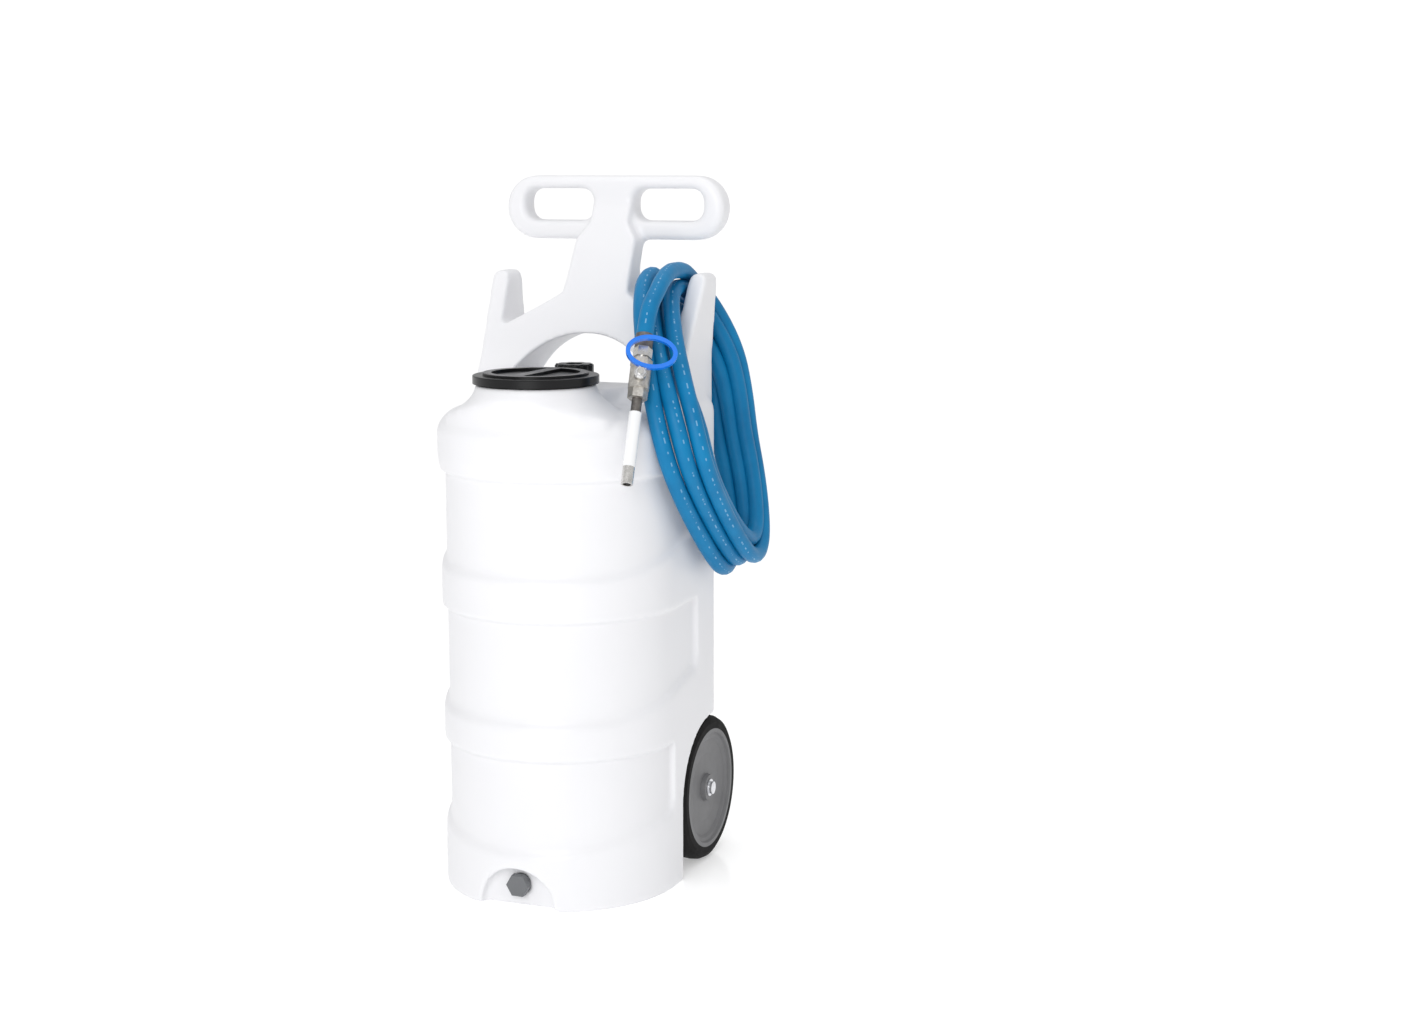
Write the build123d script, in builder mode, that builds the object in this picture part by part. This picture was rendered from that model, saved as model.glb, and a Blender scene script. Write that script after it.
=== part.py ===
"""Wheeled portable tank: a rotationally moulded body with a T-handle, a screwed fill lid,
a vent cap, a drain plug, two wheels on one axle, and a coiled hose with a ball valve and wand.

Units are millimetres. +Z is up, -Y is the front and +X is the side that carries the hose.
The origin is on the floor, midway between the front of the tank and the back of the wheels.
"""
from build123d import *
from math import pi, radians, tan
import os

os.makedirs("parts", exist_ok=True)

# ---------------------------------------------------------------- driving dimensions
WALL = 5.0

# barrel: a half-round front and straight sides
HALF_WIDTH = 202.0
FRONT_CENTRE_Y = -49.5
BACK_Y = 159.0
REAR_CORNER_R = 30.0
DECK_Z = 835.0
SHOULDER_R = 45.0

# recessed wrap-round panels between the proud bands: bottom, top and rear end of each
PANEL_DEPTH = 9.0
PANELS = ((86.0, 252.0, -46.0), (310.0, 480.0, 58.0), (549.0, 708.0, 58.0))
PANEL_CORNER_RISE = 48.0
PANEL_CORNER_RUN = 235.0

# neck and lid
NECK_Y = -143.5
NECK_R = 97.0
NECK_BORE_R = 92.5
NECK_TOP_Z = 857.0
LID_R = 102.7
LID_TOP_Z = 871.0

# vent on the deck, inside the arch
VENT_Y = 5.0
VENT_HOLE_R = 16.0
VENT_CAP_R = 31.0
VENT_CAP_TOP_Z = 876.0

# arch, horns and stem lean back together; the T-handle stands upright
LEAN_REF_Z = 923.0
LEAN_REF_Y = 52.5
LEAN_SLOPE = 0.5225
ARCH_R = 153.0
ARCH_CENTRE_Z = 770.0
ARCH_BASE_Z = 800.0
HORN_TOP_Z = 1025.6
HORN_BACK_Z = 1030.0
STEM_TOP_Z = 1145.0
STEM_BACK_Y = 208.0
HANDLE_Y = 167.5
HANDLE_THICKNESS = 48.5
HANDLE_WIDTH = 409.0
HANDLE_HEIGHT = 110.0
HANDLE_TOP_Z = 1188.0
HANDLE_END_R = 54.0
SLOT_X = 102.75
SLOT_WIDTH = 129.5
SLOT_HEIGHT = 54.5
SLOT_Z = 1138.25
SLOT_R = 22.0
HANDLE_EDGE_R = 10.8

# drain recess and plug
RECESS_R = 65.0
RECESS_Z = 4.0
RECESS_FLOOR_Y = -224.0
DRAIN_Z = 38.0
DRAIN_HOLE_R = 14.0
PLUG_ACROSS_FLATS = 35.0

# wheels
WHEEL_R = 127.0
AXLE_Y = 124.5
AXLE_R = 8.0
RUNNING_GAP = 0.05
WELL_GAP = 5.0
WELL_X = 143.0
HUB_IN_X = 148.0
HUB_OUT_X = 198.0
DISC_OUT_X = 200.0
DISC_IN_X = 154.0
DISC_R = 104.0
HUB_R = 22.5
BUSH_R = 10.5

# hose outlet on the back wall
OUTLET_X = 100.0
OUTLET_Z = 600.0
OUTLET_HOLE_R = 14.5
OUTLET_RISER_Y = 205.0
OUTLET_FERRULE_Z = 638.0
OUTLET_FERRULE_TOP_Z = 664.0
DIP_Y = 90.0
DIP_R = 10.0

# hose
HOSE_R = 14.0
HOSE_BORE_R = 9.5
COIL_R = 26.0
COIL_ROUTE = (
    (122, 88.5, 997.5),
    (124, 62, 997),
    (139, 12, 970),
    (166, -38, 918),
    (203, -86, 860),
    (230, -112, 797),
    (240, -106, 736),
    (244, -68, 684),
    (247, -20, 635),
    (252, 32, 584),
    (256, 80, 546),
    (258, 124, 538),
    (256, 162, 560),
    (248, 188, 612),
    (236, 202, 678),
    (222, 210, 746),
    (208, 212, 814),
    (188, 210, 880),
    (150, 205, 948),
    (124, 163, 993),
    (120, 115, 998),
    (121.95, 89.2, 997.51),
)
LEAD_ROUTE = (
    (100, 205, 664),
    (100, 205, 712),
    (101, 207, 762),
    (102, 207.5, 812),
    (101, 206, 862),
    (98, 200, 912),
    (101, 180, 956),
)
END_ROUTE = (
    (169.2, -90, 935),
    (165.7, -68.9, 972.9),
    (166, -38, 1001),
    (164, -6, 1022),
    (158, 34, 1033),
    (153, 78, 1032),
    (145, 116, 1018),
)

# wand: a straight run from the hose's end, down and outwards over the shoulder
WAND_START = Vector(169.2, -90.0, 935.0)
WAND_DIRECTION = Vector(20.6, -125.0, -224.6).normalized()
STEM_DIRECTION = Vector(0.3887, -0.7906, 0.4737).normalized()
FERRULE_LENGTH = 24.0
VALVE_CENTRE = 78.0
HANDLE_RING_CENTRE = (-14.0, 41.0)


# ---------------------------------------------------------------- shared outlines
def lean_y(z):
    """Front face of the arch, horns and stem at height z."""
    return LEAN_REF_Y + (z - LEAN_REF_Z) * LEAN_SLOPE


def barrel_plan(level, inset):
    """The barrel's outline at a level, with every side moved in by inset."""
    half = HALF_WIDTH - inset
    back = BACK_Y - inset
    with BuildSketch(Plane.XY.offset(level)) as plan:
        with Locations((0, FRONT_CENTRE_Y)):
            Circle(half)
        with Locations((0, (back + FRONT_CENTRE_Y) / 2)):
            Rectangle(2 * half, back - FRONT_CENTRE_Y)
        fillet(plan.vertices().group_by(Axis.Y)[-1], REAR_CORNER_R - inset / 2)
    return plan.sketch


def panel_window(bottom, top, rear):
    """One panel seen from the side; its lower rear corner sweeps up."""
    front = -HALF_WIDTH + FRONT_CENTRE_Y - 50
    with BuildSketch(Plane.YZ) as window:
        with BuildLine():
            Polyline(
                (front, bottom),
                (rear - PANEL_CORNER_RUN, bottom),
                (rear - 6, bottom + PANEL_CORNER_RISE),
                (rear, bottom + PANEL_CORNER_RISE + 12),
                (rear, top),
                (front, top),
                close=True,
            )
        make_face()
    return window.sketch


def panel_grooves(inset):
    """The three panels as solids to cut away, for a skin moved in by inset."""
    with BuildPart() as grooves:
        for bottom, top, rear in PANELS:
            extrude(panel_window(bottom - inset, top + inset, rear + inset), HALF_WIDTH + 20, both=True)
        extrude(barrel_plan(0, PANEL_DEPTH + inset), DECK_Z, mode=Mode.SUBTRACT)
    return grooves.part


def wheel_well(inset):
    """The space round one wheel, grown by inset, on the +X side."""
    radius = WHEEL_R + WELL_GAP + inset
    with BuildPart() as well:
        with BuildSketch(Plane.YZ.offset(WELL_X - inset)):
            with Locations((AXLE_Y, WHEEL_R)):
                Circle(radius)
            with Locations((AXLE_Y, WHEEL_R)):
                Rectangle(2 * radius, WHEEL_R + 50, align=(Align.CENTER, Align.MAX))
            with Locations((AXLE_Y, WHEEL_R + radius)):
                Rectangle(150, WHEEL_R + radius + 50, align=(Align.MIN, Align.MAX))
        extrude(amount=HALF_WIDTH - WELL_X + 60)
    return well.part


def arch_outline(inset):
    """Stem, saddle and horns seen from the front, less the arch opening."""
    with BuildSketch(Plane.XZ) as outline:
        with BuildLine():
            Polyline(
                (0, STEM_TOP_Z),
                (36, STEM_TOP_Z),
                (36, 1108),
                (57, 1078),
                (57, 1056),
                (61, 990),
                (101, 966),
                (163, 932),
                (169, HORN_TOP_Z),
                (201, HORN_TOP_Z),
                (190, 870),
                (190, ARCH_BASE_Z),
                (0, ARCH_BASE_Z),
                close=True,
            )
        make_face()
        fillet(outline.vertices().filter_by_position(Axis.Y, HORN_TOP_Z - 1, HORN_TOP_Z + 1), 14)
        mirror(about=Plane.YZ)
        if inset:
            offset(amount=-inset, kind=Kind.INTERSECTION)
        with Locations((0, ARCH_CENTRE_Z)):
            Circle(ARCH_R + inset, mode=Mode.SUBTRACT)
    return outline.sketch


def arch_side(inset):
    """The lean of the arch and the upright back of the horns, seen from the side."""
    with BuildSketch(Plane.YZ) as side:
        with BuildLine():
            Polyline(
                (lean_y(ARCH_BASE_Z), ARCH_BASE_Z),
                (BACK_Y, ARCH_BASE_Z),
                (BACK_Y, HORN_BACK_Z),
                (STEM_BACK_Y, HORN_BACK_Z + (STEM_BACK_Y - BACK_Y) / LEAN_SLOPE),
                (STEM_BACK_Y, STEM_TOP_Z),
                (lean_y(STEM_TOP_Z), STEM_TOP_Z),
                close=True,
            )
        make_face()
        if inset:
            offset(amount=-inset, kind=Kind.INTERSECTION)
    return side.sketch


def arch_frame(inset):
    """Arch, horns and stem as one solid."""
    with BuildPart() as frame:
        extrude(arch_outline(inset), 300, both=True)
        extrude(arch_side(inset), 260, both=True, mode=Mode.INTERSECT)
    return frame.part


def handle_bar(inset):
    """The T-handle with its two hand slots."""
    with BuildPart() as bar:
        with BuildSketch(Plane.XZ.offset(-(HANDLE_Y + inset))):
            with Locations((0, HANDLE_TOP_Z - HANDLE_HEIGHT / 2)):
                RectangleRounded(HANDLE_WIDTH - 2 * inset, HANDLE_HEIGHT - 2 * inset, HANDLE_END_R - inset)
            with Locations((-SLOT_X, SLOT_Z), (SLOT_X, SLOT_Z)):
                RectangleRounded(
                    SLOT_WIDTH + 2 * inset, SLOT_HEIGHT + 2 * inset, SLOT_R + inset, mode=Mode.SUBTRACT
                )
        extrude(amount=-(HANDLE_THICKNESS - 2 * inset))
        if not inset:
            fillet(bar.faces().filter_by(Axis.Y).edges(), HANDLE_EDGE_R)
    return bar.part


def cylinder_y(x, z, radius, y0, y1, mode=Mode.ADD):
    """A round bar along Y from y0 to y1."""
    with BuildSketch(Plane.XZ.offset(-y0)) as disc:
        with Locations((x, z)):
            Circle(radius)
    extrude(disc.sketch, -(y1 - y0), mode=mode)


def cylinder_x(y, z, radius, x0, x1, mode=Mode.ADD):
    """A round bar along X from x0 to x1."""
    with BuildSketch(Plane.YZ.offset(x0)) as disc:
        with Locations((y, z)):
            Circle(radius)
    extrude(disc.sketch, x1 - x0, mode=mode)


def cylinder_z(x, y, radius, z0, z1, mode=Mode.ADD):
    """A round bar along Z from z0 to z1."""
    with BuildSketch(Plane.XY.offset(z0)) as disc:
        with Locations((x, y)):
            Circle(radius)
    extrude(disc.sketch, z1 - z0, mode=mode)


def save(builder, label):
    """Label a finished piece and write it."""
    builder.part.label = label
    export_step(builder.part, f"parts/{label}.step")


# ---------------------------------------------------------------- tank body
with BuildPart() as tank_cavity:
    extrude(barrel_plan(WALL, WALL), DECK_Z - 2 * WALL)
    fillet(tank_cavity.faces().sort_by(Axis.Z)[-1].edges(), SHOULDER_R - WALL)
    add(panel_grooves(WALL), mode=Mode.SUBTRACT)
    right_well = wheel_well(WALL)
    add(right_well, mode=Mode.SUBTRACT)
    add(right_well.mirror(Plane.YZ), mode=Mode.SUBTRACT)
    cylinder_y(0, RECESS_Z, RECESS_R + WALL, -300, RECESS_FLOOR_Y + WALL, mode=Mode.SUBTRACT)
    cylinder_x(AXLE_Y, WHEEL_R, AXLE_R + 1 + WALL, -WELL_X, WELL_X, mode=Mode.SUBTRACT)
    add(arch_frame(WALL))
    add(handle_bar(WALL))

with BuildPart() as tank_body:
    extrude(barrel_plan(0, 0), DECK_Z)
    fillet(tank_body.faces().sort_by(Axis.Z)[-1].edges(), SHOULDER_R)
    add(panel_grooves(0), mode=Mode.SUBTRACT)
    right_well = wheel_well(0)
    add(right_well, mode=Mode.SUBTRACT)
    add(right_well.mirror(Plane.YZ), mode=Mode.SUBTRACT)
    cylinder_y(0, RECESS_Z, RECESS_R, -300, RECESS_FLOOR_Y, mode=Mode.SUBTRACT)
    cylinder_z(0, NECK_Y, NECK_R, 800, NECK_TOP_Z)
    add(arch_frame(0))
    add(handle_bar(0))
    add(tank_cavity.part, mode=Mode.SUBTRACT)
    cylinder_z(0, NECK_Y, NECK_BORE_R, 806, NECK_TOP_Z + 5, mode=Mode.SUBTRACT)
    cylinder_z(0, VENT_Y, VENT_HOLE_R, 800, DECK_Z + 5, mode=Mode.SUBTRACT)
    cylinder_y(0, DRAIN_Z, DRAIN_HOLE_R, -240, RECESS_FLOOR_Y + 20, mode=Mode.SUBTRACT)
    cylinder_x(AXLE_Y, WHEEL_R, AXLE_R + 0.3, -WELL_X - 5, WELL_X + 5, mode=Mode.SUBTRACT)
    cylinder_y(OUTLET_X, OUTLET_Z, OUTLET_HOLE_R, BACK_Y - 20, BACK_Y + 20, mode=Mode.SUBTRACT)
save(tank_body, "tank_body")

# ---------------------------------------------------------------- neck, lid and vent
RING_TOP_Z = 863.4
GASKET_TOP_Z = 866.0

with BuildPart() as neck_ring:
    cylinder_z(0, NECK_Y, 100, NECK_TOP_Z, RING_TOP_Z)
    cylinder_z(0, NECK_Y, NECK_BORE_R - 0.4, 826, NECK_TOP_Z)
    cylinder_z(0, NECK_Y, 84, 820, RING_TOP_Z + 1, mode=Mode.SUBTRACT)
save(neck_ring, "neck_ring")

with BuildPart() as lid_gasket:
    cylinder_z(0, NECK_Y, 95, RING_TOP_Z, GASKET_TOP_Z)
    cylinder_z(0, NECK_Y, 86, RING_TOP_Z - 1, GASKET_TOP_Z + 1, mode=Mode.SUBTRACT)
save(lid_gasket, "lid_gasket")

with BuildPart() as lid:
    cylinder_z(0, NECK_Y, LID_R, NECK_TOP_Z + 0.4, LID_TOP_Z)
    cylinder_z(0, NECK_Y, 100.6, NECK_TOP_Z - 1, GASKET_TOP_Z, mode=Mode.SUBTRACT)
    cylinder_z(0, NECK_Y, 83.4, 836, GASKET_TOP_Z)
    cylinder_z(0, NECK_Y, 79.4, 830, GASKET_TOP_Z, mode=Mode.SUBTRACT)
    cylinder_z(0, NECK_Y, 86, LID_TOP_Z, LID_TOP_Z + 4)
    with BuildSketch(Plane.XY.offset(LID_TOP_Z + 4)) as grip_recess:
        with Locations((0, NECK_Y)):
            Circle(72)
            Rectangle(22, 160, mode=Mode.SUBTRACT)
    extrude(grip_recess.sketch, -5, mode=Mode.SUBTRACT)
    fillet(lid.edges().filter_by_position(Axis.Z, LID_TOP_Z - 0.1, LID_TOP_Z + 0.1).sort_by(SortBy.RADIUS)[-1], 2)
save(lid, "lid")

VENT_FLANGE_TOP_Z = 843.0
VENT_COLLAR_TOP_Z = 862.0
VENT_COLLAR_R = 20.0

with BuildPart() as vent_fitting:
    cylinder_z(0, VENT_Y, 25, DECK_Z, VENT_FLANGE_TOP_Z)
    cylinder_z(0, VENT_Y, VENT_HOLE_R - 0.3, 822, DECK_Z)
    cylinder_z(0, VENT_Y, VENT_COLLAR_R, VENT_FLANGE_TOP_Z, VENT_COLLAR_TOP_Z)
    cylinder_z(0, VENT_Y, 12, 820, VENT_COLLAR_TOP_Z + 1, mode=Mode.SUBTRACT)
save(vent_fitting, "vent_fitting")

with BuildPart() as vent_gasket:
    cylinder_z(0, VENT_Y, 19, VENT_COLLAR_TOP_Z, VENT_COLLAR_TOP_Z + 2)
    cylinder_z(0, VENT_Y, 13, VENT_COLLAR_TOP_Z - 1, VENT_COLLAR_TOP_Z + 3, mode=Mode.SUBTRACT)
save(vent_gasket, "vent_gasket")

SCALLOPS = 10
with BuildPart() as vent_cap:
    cylinder_z(0, VENT_Y, VENT_CAP_R, 848, VENT_CAP_TOP_Z)
    with BuildSketch(Plane.XY.offset(840)) as scallops:
        with Locations((0, VENT_Y)):
            with PolarLocations(VENT_CAP_R + 3.5, SCALLOPS):
                Circle(7)
    extrude(scallops.sketch, 50, mode=Mode.SUBTRACT)
    cylinder_z(0, VENT_Y, VENT_COLLAR_R + 0.5, 840, VENT_COLLAR_TOP_Z + 2, mode=Mode.SUBTRACT)
    cylinder_z(0, VENT_Y, 14, VENT_CAP_TOP_Z - 2, VENT_CAP_TOP_Z + 1, mode=Mode.SUBTRACT)
save(vent_cap, "vent_cap")

# ---------------------------------------------------------------- drain
BUSH_FACE_Y = RECESS_FLOOR_Y - 2.5
PLUG_SEAT_Y = BUSH_FACE_Y - 2
THREAD_R = 10.6

with BuildPart() as drain_bushing:
    cylinder_y(0, DRAIN_Z, 17.5, BUSH_FACE_Y, RECESS_FLOOR_Y)
    cylinder_y(0, DRAIN_Z, DRAIN_HOLE_R - 0.2, RECESS_FLOOR_Y, -203)
    cylinder_y(0, DRAIN_Z, THREAD_R, BUSH_FACE_Y - 1, -200, mode=Mode.SUBTRACT)
save(drain_bushing, "drain_bushing")

with BuildPart() as drain_nut:
    with BuildSketch(Plane.XZ.offset(-(RECESS_FLOOR_Y + WALL))) as nut:
        with Locations((0, DRAIN_Z)):
            RegularPolygon(19, 6, major_radius=False)
            Circle(DRAIN_HOLE_R + 0.1, mode=Mode.SUBTRACT)
    extrude(nut.sketch, -7)
save(drain_nut, "drain_nut")

with BuildPart() as drain_gasket:
    cylinder_y(0, DRAIN_Z, 16, PLUG_SEAT_Y, BUSH_FACE_Y)
    cylinder_y(0, DRAIN_Z, THREAD_R + 0.4, PLUG_SEAT_Y - 1, BUSH_FACE_Y + 1, mode=Mode.SUBTRACT)
save(drain_gasket, "drain_gasket")

with BuildPart() as drain_plug:
    with BuildSketch(Plane.XZ.offset(-PLUG_SEAT_Y)) as plug_head:
        with Locations((0, DRAIN_Z)):
            RegularPolygon(PLUG_ACROSS_FLATS / 2, 6, major_radius=False)
    extrude(plug_head.sketch, 12)
    chamfer(drain_plug.faces().sort_by(Axis.Y)[0].edges(), 1.2)
    cylinder_y(0, DRAIN_Z, THREAD_R - RUNNING_GAP, PLUG_SEAT_Y, -206)
save(drain_plug, "drain_plug")

# ---------------------------------------------------------------- axle and wheels
WASHER_R = 15.0
WASHER_OUT_X = HUB_OUT_X + 1.6
AXLE_END_X = 203.0
CAP_END_X = 205.0

with BuildPart() as axle:
    cylinder_x(AXLE_Y, WHEEL_R, AXLE_R, -AXLE_END_X, AXLE_END_X)
save(axle, "axle")

with BuildPart() as axle_washers:
    for sign in (-1, 1):
        for inner, outer in ((WELL_X + 0.2, HUB_IN_X - 0.2), (HUB_OUT_X + 0.2, WASHER_OUT_X)):
            cylinder_x(AXLE_Y, WHEEL_R, WASHER_R, sign * inner, sign * outer)
    cylinder_x(AXLE_Y, WHEEL_R, AXLE_R, -230, 230, mode=Mode.SUBTRACT)
save(axle_washers, "axle_washers")

with BuildPart() as axle_caps:
    for sign in (-1, 1):
        cylinder_x(AXLE_Y, WHEEL_R, 11, sign * WASHER_OUT_X, sign * CAP_END_X)
    cylinder_x(AXLE_Y, WHEEL_R, AXLE_R, -AXLE_END_X, AXLE_END_X, mode=Mode.SUBTRACT)
save(axle_caps, "axle_caps")


def wheel_profile(points):
    """A half section through the wheel: x along the axle, y out from it."""
    with BuildSketch(Plane.XY.offset(WHEEL_R)) as section:
        with BuildLine():
            Polyline([(x, AXLE_Y + r) for x, r in points], close=True)
        make_face()
    return section.sketch


AXLE_LINE = Axis((0, AXLE_Y, WHEEL_R), (1, 0, 0))
DISC_SECTION = (
    (HUB_IN_X, BUSH_R), (HUB_IN_X, HUB_R), (181, HUB_R + 2), (182, 60), (177, 88), (DISC_IN_X, 95),
    (DISC_IN_X, DISC_R), (DISC_OUT_X, DISC_R), (DISC_OUT_X, 97), (DISC_OUT_X - 4, 95),
    (DISC_OUT_X - 5, 89), (191, 84), (189, 60), (190, HUB_R + 2), (HUB_OUT_X, HUB_R), (HUB_OUT_X, BUSH_R),
)
TYRE_SECTION = (
    (DISC_IN_X, DISC_R), (DISC_IN_X, 115), (158, 122), (166, 126), (177, WHEEL_R),
    (188, 126), (196, 122), (DISC_OUT_X, 115), (DISC_OUT_X, DISC_R),
)
BUSH_SECTION = (
    (HUB_IN_X, AXLE_R + RUNNING_GAP), (HUB_IN_X, BUSH_R),
    (HUB_OUT_X, BUSH_R), (HUB_OUT_X, AXLE_R + RUNNING_GAP),
)
for side, sign in (("left", -1), ("right", 1)):
    for name, section in (("wheel", DISC_SECTION), ("tyre", TYRE_SECTION), ("wheel_bush", BUSH_SECTION)):
        with BuildPart() as ring:
            revolve(wheel_profile([(sign * x, r) for x, r in section]), AXLE_LINE)
        save(ring, f"{name}_{side}")

# ---------------------------------------------------------------- outlet, dip tube and strainer
with BuildPart() as outlet_elbow:
    with BuildSketch(Plane.XZ.offset(-BACK_Y)) as flange:
        with Locations((OUTLET_X, OUTLET_Z)):
            RegularPolygon(19, 6, major_radius=False)
    extrude(flange.sketch, -7)
    cylinder_y(OUTLET_X, OUTLET_Z, OUTLET_HOLE_R - 0.2, 136, BACK_Y)
    cylinder_y(OUTLET_X, OUTLET_Z, 14, BACK_Y + 7, OUTLET_RISER_Y)
    with BuildSketch(Plane((OUTLET_X, OUTLET_RISER_Y, OUTLET_Z))) as corner:
        Circle(14)
    extrude(corner.sketch, OUTLET_FERRULE_Z - OUTLET_Z)
    with Locations((OUTLET_X, OUTLET_RISER_Y, OUTLET_Z)):
        Sphere(14)
    cylinder_z(OUTLET_X, OUTLET_RISER_Y, HOSE_BORE_R, OUTLET_FERRULE_Z, OUTLET_FERRULE_TOP_Z)
    cylinder_z(OUTLET_X, OUTLET_RISER_Y, 7, OUTLET_Z, OUTLET_FERRULE_TOP_Z + 1, mode=Mode.SUBTRACT)
    cylinder_y(OUTLET_X, OUTLET_Z, DIP_R + 0.1, 130, OUTLET_RISER_Y, mode=Mode.SUBTRACT)
save(outlet_elbow, "outlet_elbow")

with BuildPart() as outlet_nut:
    with BuildSketch(Plane.XZ.offset(-(BACK_Y - WALL))) as nut:
        with Locations((OUTLET_X, OUTLET_Z)):
            RegularPolygon(20, 6, major_radius=False)
            Circle(OUTLET_HOLE_R, mode=Mode.SUBTRACT)
    extrude(nut.sketch, 8)
save(outlet_nut, "outlet_nut")

with BuildPart() as outlet_ferrule:
    cylinder_z(OUTLET_X, OUTLET_RISER_Y, 15, OUTLET_FERRULE_Z, OUTLET_FERRULE_TOP_Z)
    cylinder_z(OUTLET_X, OUTLET_RISER_Y, HOSE_BORE_R, 600, 700, mode=Mode.SUBTRACT)
save(outlet_ferrule, "outlet_ferrule")

STRAINER_BASE_Z = 8.0
STRAINER_TOP_Z = 52.0
with BuildPart() as dip_tube:
    with BuildLine() as dip_path:
        FilletPolyline(
            (OUTLET_X, BACK_Y + 10, OUTLET_Z), (OUTLET_X, DIP_Y, OUTLET_Z), (OUTLET_X, DIP_Y, 30), radius=30
        )
    with BuildSketch(Plane((OUTLET_X, BACK_Y + 10, OUTLET_Z), z_dir=(0, -1, 0))):
        Circle(DIP_R)
        Circle(DIP_R - 2, mode=Mode.SUBTRACT)
    sweep(path=dip_path.wires()[0])
save(dip_tube, "dip_tube")

with BuildPart() as foot_strainer:
    cylinder_z(OUTLET_X, DIP_Y, 16, STRAINER_BASE_Z, STRAINER_TOP_Z)
    cylinder_z(OUTLET_X, DIP_Y, 13.5, STRAINER_BASE_Z + 3, STRAINER_TOP_Z - 4, mode=Mode.SUBTRACT)
    cylinder_z(OUTLET_X, DIP_Y, DIP_R, 20, STRAINER_TOP_Z + 1, mode=Mode.SUBTRACT)
    for level in (16, 24, 32, 40):
        with BuildSketch(Plane.XY.offset(level)) as slots:
            with Locations((OUTLET_X, DIP_Y)):
                Rectangle(40, 14)
                Rectangle(14, 40)
        extrude(slots.sketch, 4, mode=Mode.SUBTRACT)
save(foot_strainer, "foot_strainer")


# ---------------------------------------------------------------- hose
def corner_radii(route):
    """For each corner, 0.45 of the shorter run divided by the tangent of half the turn."""
    points = [Vector(*point) for point in route]
    radii = []
    for first, corner, last in zip(points, points[1:], points[2:]):
        before = corner - first
        after = last - corner
        half_turn = radians(before.get_angle(after)) / 2
        radii.append(0.45 * min(before.length, after.length) / tan(half_turn))
    return radii


def tube(route, radius):
    """A round solid along straight runs joined by tangent arcs."""
    radii = corner_radii(route)
    with BuildPart() as pipe:
        with BuildLine() as path:
            FilletPolyline(route, radius=radii)
        line = path.wires()[0]
        with BuildSketch(Plane(line @ 0, z_dir=line % 0)):
            Circle(radius)
        sweep(path=line)
    ratio = pipe.part.volume / (line.length * pi * radius**2)
    print("  radii", [round(r) for r in radii])
    print("  length", round(line.length), "volume ratio", round(ratio, 4))
    return pipe


for label, route, radius in (
    ("hose_coil", COIL_ROUTE, COIL_R),
    ("hose_lead", LEAD_ROUTE, HOSE_R),
    ("hose_end", END_ROUTE, HOSE_R),
):
    print(label)
    save(tube(route, radius), label)

# ---------------------------------------------------------------- valve and wand
ALONG = Plane(WAND_START, x_dir=STEM_DIRECTION.cross(WAND_DIRECTION) * -1, z_dir=WAND_DIRECTION)


def ring_along(start, end, outer, inner=0.0, mode=Mode.ADD):
    """A round bar or ring about the wand's axis, between two distances from the hose's end."""
    with BuildSketch(ALONG.offset(start)) as disc:
        Circle(outer)
        if inner:
            Circle(inner, mode=Mode.SUBTRACT)
    extrude(disc.sketch, end - start, mode=mode)


def hex_along(start, end, across_flats, inner=0.0):
    """A hexagon about the wand's axis."""
    with BuildSketch(ALONG.offset(start)) as nut:
        RegularPolygon(across_flats / 2, 6, major_radius=False)
        if inner:
            Circle(inner, mode=Mode.SUBTRACT)
    extrude(nut.sketch, end - start)


def stem_plane(height):
    """A plane square to the valve's stem; its x runs sideways and its y along the wand."""
    centre = WAND_START + WAND_DIRECTION * VALVE_CENTRE + STEM_DIRECTION * height
    return Plane(centre, x_dir=ALONG.x_dir, z_dir=ALONG.x_dir.cross(WAND_DIRECTION))


with BuildPart() as valve_ferrule:
    ring_along(0, FERRULE_LENGTH, 14.5, 8)
save(valve_ferrule, "valve_ferrule")

with BuildPart() as hose_stem:
    ring_along(2, FERRULE_LENGTH, 8, 6)
    hex_along(FERRULE_LENGTH, 40, 27, 6)
    ring_along(40, 52, 10, 6)
save(hose_stem, "hose_stem")

BALL_R = 12.0
BALL_BORE = 7.0
STEM_R = 5.0
with BuildPart() as valve_body:
    hex_along(44, 56, 31)
    ring_along(56, 96, 17)
    with BuildSketch(stem_plane(0)) as boss:
        Circle(9.5)
    extrude(boss.sketch, 24)
    ring_along(56, 97, BALL_R + 1, mode=Mode.SUBTRACT)
    ring_along(43, 57, 10, mode=Mode.SUBTRACT)
    with BuildSketch(stem_plane(0)) as stem_hole:
        Circle(STEM_R + RUNNING_GAP)
    extrude(stem_hole.sketch, 26, mode=Mode.SUBTRACT)
save(valve_body, "valve_body")

with BuildPart() as valve_ball:
    with Locations(Location(ALONG.offset(VALVE_CENTRE).origin)):
        Sphere(BALL_R)
    ring_along(60, 96, BALL_BORE, mode=Mode.SUBTRACT)
    with BuildSketch(stem_plane(9)) as stem_slot:
        Circle(STEM_R + 1)
    extrude(stem_slot.sketch, 10, mode=Mode.SUBTRACT)
save(valve_ball, "valve_ball")

SEAT_OFFSET = 10.0
with BuildPart() as valve_seats:
    for start in (VALVE_CENTRE - SEAT_OFFSET - 4, VALVE_CENTRE + SEAT_OFFSET):
        ring_along(start, start + 4, BALL_R + 0.9, 7.5)
save(valve_seats, "valve_seats")

with BuildPart() as valve_stem:
    with BuildSketch(stem_plane(9)) as stem:
        Circle(STEM_R)
    extrude(stem.sketch, 27)
save(valve_stem, "valve_stem")

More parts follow.
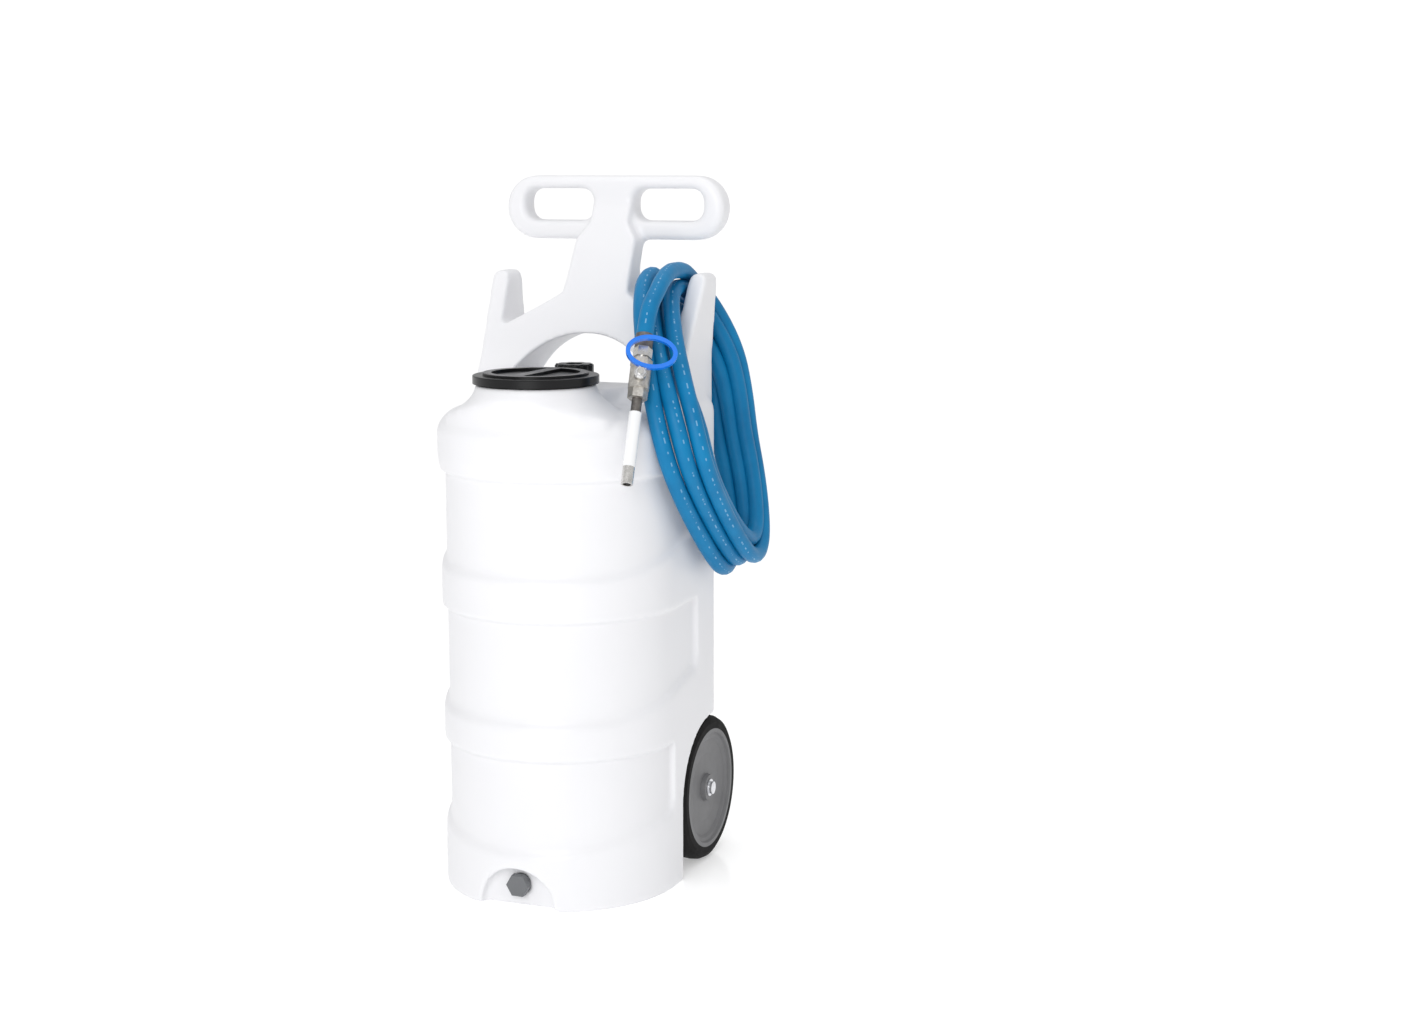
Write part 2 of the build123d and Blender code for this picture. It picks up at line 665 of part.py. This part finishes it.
RING_HALF_LENGTH = 41.5
RING_HALF_HEIGHT = 29.0
RING_THICKNESS = 7.0
with BuildPart() as handle_ring:
    with BuildSketch(stem_plane(24.5)) as band:
        with Locations((HANDLE_RING_CENTRE[0], HANDLE_RING_CENTRE[1] - VALVE_CENTRE)):
            Ellipse(RING_HALF_LENGTH, RING_HALF_HEIGHT)
            Ellipse(RING_HALF_LENGTH - RING_THICKNESS, RING_HALF_HEIGHT - RING_THICKNESS, mode=Mode.SUBTRACT)
    extrude(band.sketch, 8)
save(handle_ring, "handle_ring")

with BuildPart() as handle_bracket:
    with BuildSketch(stem_plane(26)) as strap:
        Circle(10)
        with Locations((-2.1, -7)):
            Rectangle(13, 12, rotation=-17)
        Circle(STEM_R + RUNNING_GAP, mode=Mode.SUBTRACT)
    extrude(strap.sketch, 2.5)
    add(handle_ring.part, mode=Mode.SUBTRACT)
save(handle_bracket, "handle_bracket")

with BuildPart() as handle_nut:
    with BuildSketch(stem_plane(28.5)) as nut:
        RegularPolygon(7.5, 6, major_radius=False)
        Circle(STEM_R + RUNNING_GAP, mode=Mode.SUBTRACT)
    extrude(nut.sketch, 5)
save(handle_nut, "handle_nut")

PIPE_R = 8.3
with BuildPart() as valve_adapter:
    ring_along(92, 96, BALL_R + 0.9, 7.5)
    hex_along(96, 112, 28)
    ring_along(95, 108, 7, mode=Mode.SUBTRACT)
    ring_along(108, 113, PIPE_R, mode=Mode.SUBTRACT)
save(valve_adapter, "valve_adapter")

with BuildPart() as wand_pipe:
    ring_along(108, 238, PIPE_R, 6.3)
save(wand_pipe, "wand_pipe")

with BuildPart() as wand_sleeve:
    ring_along(136, 229, 10.2, PIPE_R)
save(wand_sleeve, "wand_sleeve")

with BuildPart() as wand_tip:
    ring_along(229, 258, 9.6)
    ring_along(228, 238, PIPE_R, mode=Mode.SUBTRACT)
    ring_along(237, 259, 6.8, mode=Mode.SUBTRACT)
save(wand_tip, "wand_tip")
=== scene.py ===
"""Looks of the wheeled tank: a soft white moulding, a black lid and vent cap, grey wheels with
black tyres, and a blue hose wound over one horn that ends in a ball valve and wand.

Units are metres in the row's own frame: +Z up, -Y the front, +X the hose side.
"""
import math

import bmesh
import bpy
import numpy as np
from mathutils import Matrix, Vector


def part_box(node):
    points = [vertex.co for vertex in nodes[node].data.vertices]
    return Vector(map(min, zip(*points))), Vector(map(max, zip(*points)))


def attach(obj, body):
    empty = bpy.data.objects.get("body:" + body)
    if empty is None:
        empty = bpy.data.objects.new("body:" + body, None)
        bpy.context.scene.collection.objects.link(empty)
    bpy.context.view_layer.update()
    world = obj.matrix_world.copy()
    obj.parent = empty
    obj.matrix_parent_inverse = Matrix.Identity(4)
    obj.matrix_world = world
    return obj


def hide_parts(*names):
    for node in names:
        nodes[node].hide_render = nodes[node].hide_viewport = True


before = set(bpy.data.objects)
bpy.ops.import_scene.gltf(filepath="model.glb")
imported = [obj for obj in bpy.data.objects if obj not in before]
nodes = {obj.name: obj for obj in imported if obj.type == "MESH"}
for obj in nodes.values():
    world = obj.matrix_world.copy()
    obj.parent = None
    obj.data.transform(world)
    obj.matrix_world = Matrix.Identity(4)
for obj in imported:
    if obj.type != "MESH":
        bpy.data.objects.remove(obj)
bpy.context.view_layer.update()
scene = bpy.context.scene


# ---------------------------------------------------------------- material helpers
def new_material(name, colour, roughness, metallic=0.0):
    """A material with a Principled shader, and the two as a pair."""
    material = bpy.data.materials.new(name)
    material.use_nodes = True
    shader = material.node_tree.nodes["Principled BSDF"]
    shader.inputs["Base Color"].default_value = (*colour, 1)
    shader.inputs["Roughness"].default_value = roughness
    shader.inputs["Metallic"].default_value = metallic
    return material, shader


def node_of(material, kind, **values):
    """A new shader node, with its inputs set by name."""
    node = material.node_tree.nodes.new(kind)
    for key, value in values.items():
        node.inputs[key.replace("_", " ")].default_value = value
    return node


def wire(material, output, target):
    material.node_tree.links.new(output, target)


def noise(material, scale, detail=4.0, roughness=0.55, stretch=None):
    """Noise over the object's own coordinates, optionally stretched along an axis."""
    place = node_of(material, "ShaderNodeTexCoord").outputs["Object"]
    if stretch:
        mapping = node_of(material, "ShaderNodeMapping", Scale=stretch)
        wire(material, place, mapping.inputs["Vector"])
        place = mapping.outputs["Vector"]
    texture = node_of(material, "ShaderNodeTexNoise", Scale=scale, Detail=detail, Roughness=roughness)
    wire(material, place, texture.inputs["Vector"])
    return texture.outputs["Fac"]


def ramp(material, source, low, high, colour_low, colour_high):
    """Two colours blended by a value between low and high."""
    node = node_of(material, "ShaderNodeValToRGB")
    wire(material, source, node.inputs["Fac"])
    stops = node.color_ramp.elements
    stops[0].position, stops[1].position = low, high
    stops[0].color, stops[1].color = (*colour_low, 1), (*colour_high, 1)
    return node.outputs["Color"]


def remap(material, source, low, high):
    """A value from 0 to 1 spread between low and high."""
    node = node_of(material, "ShaderNodeMapRange", To_Min=low, To_Max=high)
    wire(material, source, node.inputs["Value"])
    return node.outputs["Result"]


def bump(material, shader, heights):
    """Bumps laid over each other: pairs of a height and its depth in metres."""
    normal = None
    for height, distance in heights:
        node = node_of(material, "ShaderNodeBump", Distance=distance, Strength=1.0)
        wire(material, height, node.inputs["Height"])
        if normal:
            wire(material, normal, node.inputs["Normal"])
        normal = node.outputs["Normal"]
    wire(material, normal, shader.inputs["Normal"])


def plastic(name, colour, other, roughness, grain, grain_depth, cloud=6.0, coat=0.0, specular=0.5):
    """Moulded plastic: a faint cloud of two colours, uneven gloss and a fine moulded grain."""
    material, shader = new_material(name, colour, roughness)
    tone = ramp(material, noise(material, cloud), 0.3, 0.7, colour, other)
    wire(material, tone, shader.inputs["Base Color"])
    gloss = remap(material, noise(material, cloud * 5), roughness * 0.82, roughness * 1.2)
    wire(material, gloss, shader.inputs["Roughness"])
    fine = (noise(material, grain, 6), grain_depth)
    broad = (noise(material, cloud * 3, 2), grain_depth * 4)
    bump(material, shader, (fine, broad))
    shader.inputs["Specular IOR Level"].default_value = specular
    shader.inputs["Coat Weight"].default_value = coat
    shader.inputs["Coat Roughness"].default_value = 0.25
    return material


def metal(name, colour, other, roughness, grain, grain_depth, stretch=None):
    """Metal: two tones, uneven polish, and a grain that may run one way."""
    material, shader = new_material(name, colour, roughness, metallic=1.0)
    tone = noise(material, grain * 0.3, 5, 0.6, stretch)
    wire(material, ramp(material, tone, 0.35, 0.7, colour, other), shader.inputs["Base Color"])
    wire(material, remap(material, noise(material, grain * 0.6), roughness * 0.7, roughness * 1.35),
         shader.inputs["Roughness"])
    bump(material, shader, ((noise(material, grain, 5, 0.65, stretch), grain_depth),))
    return material


def polyethylene():
    """White rotationally moulded polyethylene: soft, faintly translucent, with an orange-peel skin."""
    material = plastic("tank_polyethylene", (0.77, 0.77, 0.79), (0.80, 0.80, 0.82), 0.36, 260, 0.00006, 3.0)
    shader = material.node_tree.nodes["Principled BSDF"]
    shader.inputs["Subsurface Weight"].default_value = 0.18
    shader.inputs["Subsurface Radius"].default_value = (1.0, 1.0, 1.0)
    shader.inputs["Subsurface Scale"].default_value = 0.006
    shader.inputs["Specular IOR Level"].default_value = 0.42
    return material


def hose_rubber():
    """Blue hose cover: a fine wrapped-cloth print, dusty patches and a row of plain white dashes."""
    material, shader = new_material("hose_blue", (0.001, 0.15, 0.4), 0.4)
    cover = ramp(material, noise(material, 14, 5), 0.3, 0.72, (0.0008, 0.15, 0.345), (0.0025, 0.2, 0.43))
    uv = node_of(material, "ShaderNodeTexCoord").outputs["UV"]
    split = node_of(material, "ShaderNodeSeparateXYZ")
    wire(material, uv, split.inputs["Vector"])
    around = node_of(material, "ShaderNodeMath")
    around.operation = "COMPARE"
    wire(material, split.outputs["Y"], around.inputs[0])
    around.inputs[1].default_value = 0.62
    around.inputs[2].default_value = 0.013
    stripe = node_of(material, "ShaderNodeTexNoise", Scale=1.0, Detail=2.0)
    stripe.noise_dimensions = "1D"
    along = node_of(material, "ShaderNodeMath")
    along.operation = "MULTIPLY"
    along.inputs[1].default_value = 620
    wire(material, split.outputs["X"], along.inputs[0])
    wire(material, along.outputs["Value"], stripe.inputs["W"])
    dashes = node_of(material, "ShaderNodeMath")
    dashes.operation = "GREATER_THAN"
    dashes.inputs[1].default_value = 0.56
    wire(material, stripe.outputs["Fac"], dashes.inputs[0])
    both = node_of(material, "ShaderNodeMath")
    both.operation = "MULTIPLY"
    wire(material, around.outputs["Value"], both.inputs[0])
    wire(material, dashes.outputs["Value"], both.inputs[1])
    mixed = material.node_tree.nodes.new("ShaderNodeMix")
    mixed.data_type = "RGBA"
    wire(material, both.outputs["Value"], mixed.inputs["Factor"])
    wire(material, cover, mixed.inputs[6])
    mixed.inputs[7].default_value = (0.16, 0.36, 0.55, 1)
    wire(material, mixed.outputs[2], shader.inputs["Base Color"])
    wire(material, remap(material, noise(material, 40, 4), 0.34, 0.55), shader.inputs["Roughness"])
    bump(material, shader, ((noise(material, 900, 3), 0.00012), (noise(material, 90, 3), 0.0003)))
    shader.inputs["Specular IOR Level"].default_value = 0.22
    return material


WHITE_TANK = polyethylene()
BLACK = plastic("black_moulding", (0.003, 0.003, 0.0035), (0.006, 0.006, 0.007), 0.3, 700, 0.00004, 9.0,
                specular=0.26)
GASKET = plastic("gasket_rubber", (0.014, 0.014, 0.014), (0.022, 0.021, 0.02), 0.75, 900, 0.00006)
PLUG_GREY = plastic("plug_plastic", (0.115, 0.12, 0.128), (0.145, 0.15, 0.158), 0.45, 800, 0.00006,
                    20.0)
HUB_GREY = plastic("wheel_grey", (0.15, 0.15, 0.155), (0.185, 0.185, 0.19), 0.5, 500, 0.00008, 8.0,
                   specular=0.4)
TYRE = plastic("tyre_rubber", (0.003, 0.003, 0.003), (0.008, 0.0075, 0.0075), 0.8, 420, 0.0002, 12.0,
               specular=0.24)
ACETAL = plastic("bush_acetal", (0.62, 0.61, 0.58), (0.7, 0.69, 0.66), 0.35, 800, 0.00003)
PIPE_GREY = plastic("pipe_grey", (0.16, 0.17, 0.185), (0.2, 0.21, 0.22), 0.4, 500, 0.00005, 10.0)
SEAT = plastic("seat_white", (0.75, 0.75, 0.72), (0.8, 0.8, 0.78), 0.3, 700, 0.00002)
SLEEVE = plastic("sleeve_white", (0.78, 0.79, 0.8), (0.83, 0.83, 0.84), 0.22, 300, 0.00003, 14.0, coat=0.4)
VINYL = plastic("blue_vinyl", (0.003, 0.15, 0.68), (0.006, 0.18, 0.76), 0.25, 240, 0.00012, 20.0, coat=0.5)
HOSE_BLUE = hose_rubber()
ZINC = metal("zinc_steel", (0.62, 0.63, 0.65), (0.78, 0.78, 0.8), 0.3, 300, 0.00004)
CAST = metal("cast_stainless", (0.42, 0.40, 0.37), (0.66, 0.64, 0.6), 0.42, 520, 0.0004)
TURNED = metal("turned_stainless", (0.55, 0.54, 0.52), (0.74, 0.73, 0.71), 0.27, 260, 0.00006)
DARK_STEEL = metal("dark_steel", (0.14, 0.13, 0.125), (0.24, 0.225, 0.21), 0.45, 420, 0.00012)


# ---------------------------------------------------------------- mesh helpers
SHARP_ANGLE = 40.0


def dress(piece, material, body, slot, *replaced):
    """Give a piece its material, the body it rides on and the nodes it stands for; the record slot is not
    used.
    """
    piece.data.materials.clear()
    piece.data.materials.append(material)
    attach(piece, body)
    if replaced:
        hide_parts(*replaced)
    return piece


def mesh_object(name, points, faces):
    """A mesh from points and faces, with consistent normals and smooth shading up to an angle."""
    mesh = bpy.data.meshes.new(name)
    mesh.from_pydata([tuple(point) for point in points], [], faces)
    tidy = bmesh.new()
    tidy.from_mesh(mesh)
    bmesh.ops.remove_doubles(tidy, verts=tidy.verts, dist=1e-7)
    bmesh.ops.recalc_face_normals(tidy, faces=tidy.faces)
    tidy.to_mesh(mesh)
    tidy.free()
    piece = bpy.data.objects.new(name, mesh)
    scene.collection.objects.link(piece)
    mesh.shade_smooth()
    mesh.set_sharp_from_angle(angle=math.radians(SHARP_ANGLE))
    return piece


def lathe(name, profile, place, wave, segments=96):
    """Turn a closed profile of (height, radius) about place's Z, with the radius that wave gives."""
    points = []
    faces = []
    count = len(profile)
    for step in range(segments):
        angle = 2 * math.pi * step / segments
        for height, radius in profile:
            r = wave(height, radius, angle)
            points.append(place @ Vector((r * math.cos(angle), r * math.sin(angle), height)))
    for step in range(segments):
        this = step * count
        following = (step + 1) % segments * count
        for k in range(count):
            after = (k + 1) % count
            faces.append((this + k, following + k, following + after, this + after))
    return mesh_object(name, points, faces)


def rounded(profile, radius, steps=4):
    """A closed profile with each corner replaced by a small arc-like curve."""
    result = []
    count = len(profile)
    for k in range(count):
        before = Vector(profile[k - 1])
        corner = Vector(profile[k])
        after = Vector(profile[(k + 1) % count])
        reach = min(radius, (before - corner).length * 0.45, (after - corner).length * 0.45)
        start = corner + (before - corner).normalized() * reach
        end = corner + (after - corner).normalized() * reach
        for step in range(steps + 1):
            t = step / steps
            result.append(tuple(start * (1 - t) ** 2 + corner * 2 * t * (1 - t) + end * t ** 2))
    return result


# ---------------------------------------------------------------- the tank's moulding
HALF_WIDTH = 0.202
FRONT_CENTRE_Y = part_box("tank_body")[0].y + HALF_WIDTH
NECK_Y = (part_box("lid")[0].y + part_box("lid")[1].y) / 2
NECK_R = 0.097
PANEL_BOTTOMS = ((0.086, -0.046), (0.310, 0.058), (0.549, 0.058))
TOP_BAND_Z = 0.708
DECK_DROP = 0.024
COLLAR_FOOT_Z = 0.785
COLLAR_IN_R = 0.0935
# The neck's foot flares down into the shoulder: heights and radii.
COLLAR = ((0.853, 0.0985), (0.845, 0.100), (0.835, 0.106), (0.825, 0.116), (0.815, 0.131), (0.806, 0.150))
WALL_MARGIN = 0.003
VOXEL = 0.003
BELOW_LID_Z = 0.845
BAND_PROUD = 0.0035
# The deck drops from the arch's face forward, and further back beside the neck than behind it.
DROP_FROM_Y, DROP_TO_Y = 0.012, -0.05
DROP_BACK = 0.045
PANEL_EDGE_PASSES = 45
HANDLE_PASSES = 14
RECESS_PASSES = 16
KEPT_FACES = 0.3


def applied(piece):
    """The piece with its modifiers worked into its mesh."""
    ready = piece.evaluated_get(bpy.context.evaluated_depsgraph_get())
    mesh = bpy.data.meshes.new_from_object(ready)
    piece.modifiers.clear()
    piece.data = mesh
    return piece


def smooth_steps(value, start, end):
    """0 before start, 1 after end and an even S between, for an array."""
    t = np.clip((value - start) / (end - start), 0, 1)
    return t * t * (3 - 2 * t)


def vertex_arrays(mesh):
    """The places and normals of a mesh's points."""
    places = np.empty(len(mesh.vertices) * 3)
    normals = np.empty(len(mesh.vertices) * 3)
    mesh.vertices.foreach_get("co", places)
    mesh.vertices.foreach_get("normal", normals)
    return places.reshape(-1, 3), normals.reshape(-1, 3)


def outward_from_barrel(places):
    """For each point, how far it stands inside the barrel's outline, and the way out."""
    across = places[:, 0]
    forward = np.minimum(places[:, 1] - FRONT_CENTRE_Y, 0)
    reach = np.hypot(across, forward)
    way = np.stack([across / reach, forward / reach], 1)
    return HALF_WIDTH - reach, way


def shape_shoulder(mesh):
    """Drop the deck beside the neck and in front of the arch, and let the top band stand prouder."""
    places, normals = vertex_arrays(mesh)
    inset, way = outward_from_barrel(places)
    facing = normals[:, 0] * way[:, 0] + normals[:, 1] * way[:, 1]
    beside = DROP_BACK * smooth_steps(np.abs(places[:, 0]), 0.05, 0.08)
    ahead_of_arch = 1 - smooth_steps(places[:, 1] - beside, DROP_TO_Y, DROP_FROM_Y)
    proud = BAND_PROUD * smooth_steps(places[:, 2], TOP_BAND_Z - 0.002, TOP_BAND_Z + 0.03)
    proud *= (inset < 0.03) * (facing > 0.05) * (places[:, 2] < 0.84) * facing
    proud *= 1 - smooth_steps(places[:, 1], 0.02, 0.12)
    places[:, :2] += way * proud[:, None]
    from_neck = np.hypot(places[:, 0], places[:, 1] - NECK_Y)
    below_lid = (places[:, 2] < BELOW_LID_Z) * (from_neck > NECK_R - 0.007)
    places[:, 2] -= DECK_DROP * smooth_steps(places[:, 2], 0.73, 0.82) * ahead_of_arch * below_lid
    mesh.vertices.foreach_set("co", places.ravel())


def collar_radius(height, radius, angle):
    """A collar point's radius, held inside the barrel's front wall."""
    ahead = NECK_Y - FRONT_CENTRE_Y
    along = ahead * math.sin(angle)
    wall = math.sqrt(along ** 2 + HALF_WIDTH ** 2 - ahead ** 2) - along
    return min(radius, wall - WALL_MARGIN)


def add_collar(piece):
    """Join the flaring foot of the neck to the moulding."""
    top = (COLLAR[0][0], COLLAR_IN_R)
    foot = ((COLLAR_FOOT_Z, COLLAR[-1][1]), (COLLAR_FOOT_Z, COLLAR_IN_R))
    profile = [top, *COLLAR, *foot]
    collar = lathe("collar", profile, Matrix.Translation((0, NECK_Y, 0)), collar_radius)
    joined = bmesh.new()
    joined.from_mesh(piece.data)
    joined.from_mesh(collar.data)
    joined.to_mesh(piece.data)
    joined.free()
    bpy.data.objects.remove(collar)


def soften_where(piece, name, weights, passes):
    """Melt the moulding's edges where the weights say so."""
    group = piece.vertex_groups.new(name=name)
    levels = np.round(weights, 1)
    for level in np.unique(levels[levels > 0]):
        group.add(np.nonzero(levels == level)[0].tolist(), float(level), "REPLACE")
    smooth = piece.modifiers.new(name, "SMOOTH")
    smooth.factor = 0.5
    smooth.iterations = passes
    smooth.vertex_group = name


def panel_floor(y, bottom, rear):
    """The height of a panel's lower edge along the side: level in front and rising to the rear."""
    return bottom + 0.048 * np.clip((y - rear + 0.235) / 0.229, 0, 1)


def revoxel(piece, passes):
    """Rebuild the surface on an even grid, which joins what overlaps, and soften it."""
    remesh = piece.modifiers.new("Remesh", "REMESH")
    remesh.mode = "VOXEL"
    remesh.voxel_size = VOXEL
    smooth = piece.modifiers.new("Smooth", "SMOOTH")
    smooth.factor = 0.5
    smooth.iterations = passes
    applied(piece)


def moulded_tank():
    """The tank as it comes from its mould: no hard edge anywhere."""
    piece = bpy.data.objects.new("tank_moulding", nodes["tank_body"].data.copy())
    scene.collection.objects.link(piece)
    revoxel(piece, 2)
    shape_shoulder(piece.data)
    add_collar(piece)
    revoxel(piece, 4)
    places, _ = vertex_arrays(piece.data)
    heights = places[:, 2]
    lower_edges = np.zeros(len(heights))
    for bottom, rear in PANEL_BOTTOMS:
        gap = np.abs(heights - panel_floor(places[:, 1], bottom, rear))
        lower_edges = np.maximum(lower_edges, (gap < 0.022) * (places[:, 1] < rear + 0.03))
    soften_where(piece, "panel_edges", lower_edges, PANEL_EDGE_PASSES)
    from_neck = np.hypot(places[:, 0], places[:, 1] - NECK_Y)
    top = smooth_steps(heights, 0.86, 0.90)
    neck_foot = (heights > 0.78) * (heights < 0.852)
    neck_foot = neck_foot * (from_neck > NECK_R - 0.004) * (from_neck < NECK_R + 0.06)
    soften_where(piece, "handle_and_neck", np.maximum(top, neck_foot), HANDLE_PASSES)
    recess = (heights < 0.085) * (np.abs(places[:, 0]) < 0.08) * (places[:, 1] < -0.2)
    soften_where(piece, "drain_recess", recess.astype(float), RECESS_PASSES)
    thin = piece.modifiers.new("Decimate", "DECIMATE")
    thin.ratio = KEPT_FACES
    applied(piece)
    piece.data.shade_smooth()
    return piece


bpy.context.view_layer.update()
tank = moulded_tank()
dress(tank, WHITE_TANK, "tank", "tank_pe", "tank_body")


# ---------------------------------------------------------------- hose
HOSE_RADIUS = 0.014
TURNS = 4
STATIONS = 20

# One turn of the hose over the saddle, in millimetres: over the crest, down the front,
# under the bottom, up the rear and back over the horn's saddle.
RING = [
    (117, 118, 998), (122, 65, 997), (139, 16, 970), (167, -34, 918), (200, -77, 858),
    (229, -104, 796), (243, -100, 736), (246, -62, 684), (247, -13, 635), (251, 39, 584),
    (254, 87, 546), (255, 131, 538), (252, 169, 560), (243, 194, 612), (231, 208, 678),
    (216, 216, 746), (202, 217, 814), (182, 215, 880), (143, 204, 946), (118, 161, 986),
]
# How far each turn stands from that ring at the crest, front, bottom, rear and back.
CREST = [(-13, 0, 27), (-4, 0, -8), (9, 0, -32), (31, 6, 4), (36, 4, 30)]
FRONT = [(-28, -14, 0), (0, 0, 0), (20, 46, -8), (24, 17, 2)]
BOTTOM = [(-14, -20, -14), (1, -1, 2), (13, 16, 38), (26, 10, 7)]
REAR = [(-34, -12, 0), (-8, -10, 0), (11, -4, 8), (13, 24, -6)]
BACK = [(-18, 4, 8), (4, -18, -10), (24, -4, 2), (24, 24, 14)]
QUARTERS = (0.0, 1.0, 2.0, 3.0, 3.5, 4.0)
LEAD = [
    (100, 205, 664), (100, 205, 712), (101, 207, 762), (102, 207.5, 812), (101, 206, 862),
    (98, 200, 912), (101, 184, 962),
]
END = [
    (153, 122, 1029), (155, 78, 1032), (159, 36, 1030), (164, -4, 1018), (166.5, -36, 999),
    (165.7, -68.9, 972.9), (169.2, -90, 935),
]


def turn_offset(turn, quarter):
    """A turn's distance from the ring at a place round it, from 0 at the crest to 4 at the next."""
    keys = (CREST[turn], FRONT[turn], BOTTOM[turn], REAR[turn], BACK[turn], CREST[turn + 1])
    for k in range(len(keys) - 1):
        if quarter <= QUARTERS[k + 1]:
            share = (quarter - QUARTERS[k]) / (QUARTERS[k + 1] - QUARTERS[k])
            return Vector(keys[k]).lerp(Vector(keys[k + 1]), share)
    return Vector(keys[-1])


def hose_route():
    """The whole hose: up behind the tank, four turns over the horn, and over the front to the valve."""
    route = [Vector(point) for point in LEAD]
    for turn in range(TURNS):
        for k in range(STATIONS):
            route.append(Vector(RING[k]) + turn_offset(turn, 4 * k / STATIONS))
    route += [Vector(point) for point in END]
    return [point / 1000 for point in route]


def spline_curve(name, points, radius):
    """A round tube along one smooth NURBS spline."""
    curve = bpy.data.curves.new(name, "CURVE")
    curve.dimensions = "3D"
    spline = curve.splines.new("NURBS")
    spline.points.add(len(points) - 1)
    for target, point in zip(spline.points, points):
        target.co = (*point, 1)
    spline.order_u = 3
    spline.use_endpoint_u = True
    curve.resolution_u = 6
    curve.bevel_depth = radius
    curve.bevel_resolution = 5
    curve.use_fill_caps = True
    piece = bpy.data.objects.new(name, curve)
    scene.collection.objects.link(piece)
    return piece


def spline_points(piece):
    """Points along a curve object's smooth line."""
    bare = piece.data.copy()
    bare.bevel_depth = 0
    helper = bpy.data.objects.new("helper", bare)
    line = bpy.data.meshes.new_from_object(helper)
    points = [vertex.co.copy() for vertex in line.vertices]
    bpy.data.objects.remove(helper)
    return points


hose = spline_curve("hose", hose_route(), HOSE_RADIUS)
hose_line = spline_points(hose)
dress(hose, HOSE_BLUE, "tank", "hose_blue", "hose_coil", "hose_lead", "hose_end")


# ---------------------------------------------------------------- materials of the CAD pieces
FINISHES = {
    "neck_ring": BLACK, "lid_gasket": GASKET, "lid": BLACK, "vent_fitting": BLACK, "vent_gasket": GASKET,
    "vent_cap": BLACK, "drain_bushing": PLUG_GREY, "drain_nut": PLUG_GREY, "drain_gasket": GASKET,
    "drain_plug": PLUG_GREY, "axle": ZINC, "axle_washers": ZINC, "axle_caps": ZINC,
    "wheel_left": HUB_GREY, "wheel_right": HUB_GREY, "tyre_left": TYRE, "tyre_right": TYRE,
    "wheel_bush_left": ACETAL, "wheel_bush_right": ACETAL,
    "outlet_elbow": PIPE_GREY, "outlet_nut": PIPE_GREY, "outlet_ferrule": TURNED, "dip_tube": PIPE_GREY,
    "foot_strainer": PIPE_GREY, "valve_ferrule": DARK_STEEL, "hose_stem": TURNED, "valve_body": CAST,
    "valve_ball": TURNED, "valve_seats": SEAT, "valve_stem": TURNED, "handle_bracket": TURNED,
    "handle_ring": VINYL, "handle_nut": ZINC, "valve_adapter": CAST, "wand_pipe": DARK_STEEL,
    "wand_sleeve": SLEEVE, "wand_tip": TURNED,
}
for node_name, finish in FINISHES.items():
    nodes[node_name].data.materials.clear()
    nodes[node_name].data.materials.append(finish)


# ---------------------------------------------------------------- grip round the vent cap
LOBES = 12
LOBE_HEIGHT = 0.0022


def vent_grip():
    """A scalloped band round the vent cap's rim."""
    low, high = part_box("vent_cap")
    rim = (high.x - low.x) / 2
    inner = rim - 0.0015

    def lobes(height, radius, angle):
        if radius < rim:
            return radius
        return radius + LOBE_HEIGHT * abs(math.cos(LOBES / 2 * angle))

    profile = rounded([(low.z + 0.002, inner), (low.z + 0.002, rim + 0.0002), (high.z - 0.0015, rim + 0.0002),
                       (high.z - 0.0015, inner)], 0.0008)
    place = Matrix.Translation(((low.x + high.x) / 2, (low.y + high.y) / 2, 0))
    band = lathe("vent_grip", profile, place, lobes, segments=LOBES * 14)
    dress(band, BLACK, "vent_cap", "black_plastic")


vent_grip()


# ---------------------------------------------------------------- floor, light and camera
FLOOR_GLOW = 0.36
ROOM_LIGHT = 0.72
BACKDROP = 1.05


def studio():
    """A plain pale floor under an even white studio light."""
    bpy.ops.mesh.primitive_circle_add(vertices=96, radius=40, fill_type="NGON")
    floor = bpy.context.object
    floor.name = "floor"
    material, shader = new_material("floor_white", (0.86, 0.86, 0.86), 0.16)
    shader.inputs["Specular IOR Level"].default_value = 0.35
    shader.inputs["Emission Color"].default_value = (1, 1, 1, 1)
    shader.inputs["Emission Strength"].default_value = FLOOR_GLOW
    floor.data.materials.append(material)
    world = bpy.data.worlds.new("studio")
    world.use_nodes = True
    background = world.node_tree.nodes["Background"]
    background.inputs["Color"].default_value = (1, 1, 1, 1)
    path = world.node_tree.nodes.new("ShaderNodeLightPath")
    strength = world.node_tree.nodes.new("ShaderNodeMapRange")
    strength.inputs["To Min"].default_value = ROOM_LIGHT
    strength.inputs["To Max"].default_value = BACKDROP
    world.node_tree.links.new(path.outputs["Is Camera Ray"], strength.inputs["Value"])
    world.node_tree.links.new(strength.outputs["Result"], background.inputs["Strength"])
    scene.world = world
    lamps = (
        ("key", (0.5, -3.2, 1.7), 1.8, 46),
        ("top", (0.2, 0.2, 3.4), 2.4, 18),
    )
    for name, place, size, power in lamps:
        light = bpy.data.lights.new(name, "AREA")
        light.size = size
        light.energy = power
        lamp = bpy.data.objects.new(name, light)
        lamp.location = place
        aim = Vector((0, 0, 0.6)) - Vector(place)
        lamp.rotation_euler = aim.to_track_quat("-Z", "Y").to_euler()
        scene.collection.objects.link(lamp)


def camera():
    """The product view: from the front and a little to the right, slightly above the deck."""
    lens = bpy.data.cameras.new("camera")
    lens.lens = 54.59
    lens.sensor_width = 36
    eye = bpy.data.objects.new("camera", lens)
    eye.location = (1.5243, -3.3034, 1.2023)
    eye.rotation_euler = (math.radians(80.8), 0, math.radians(21.05))
    scene.collection.objects.link(eye)
    scene.camera = eye


studio()
camera()
scene.view_settings.view_transform = "Standard"
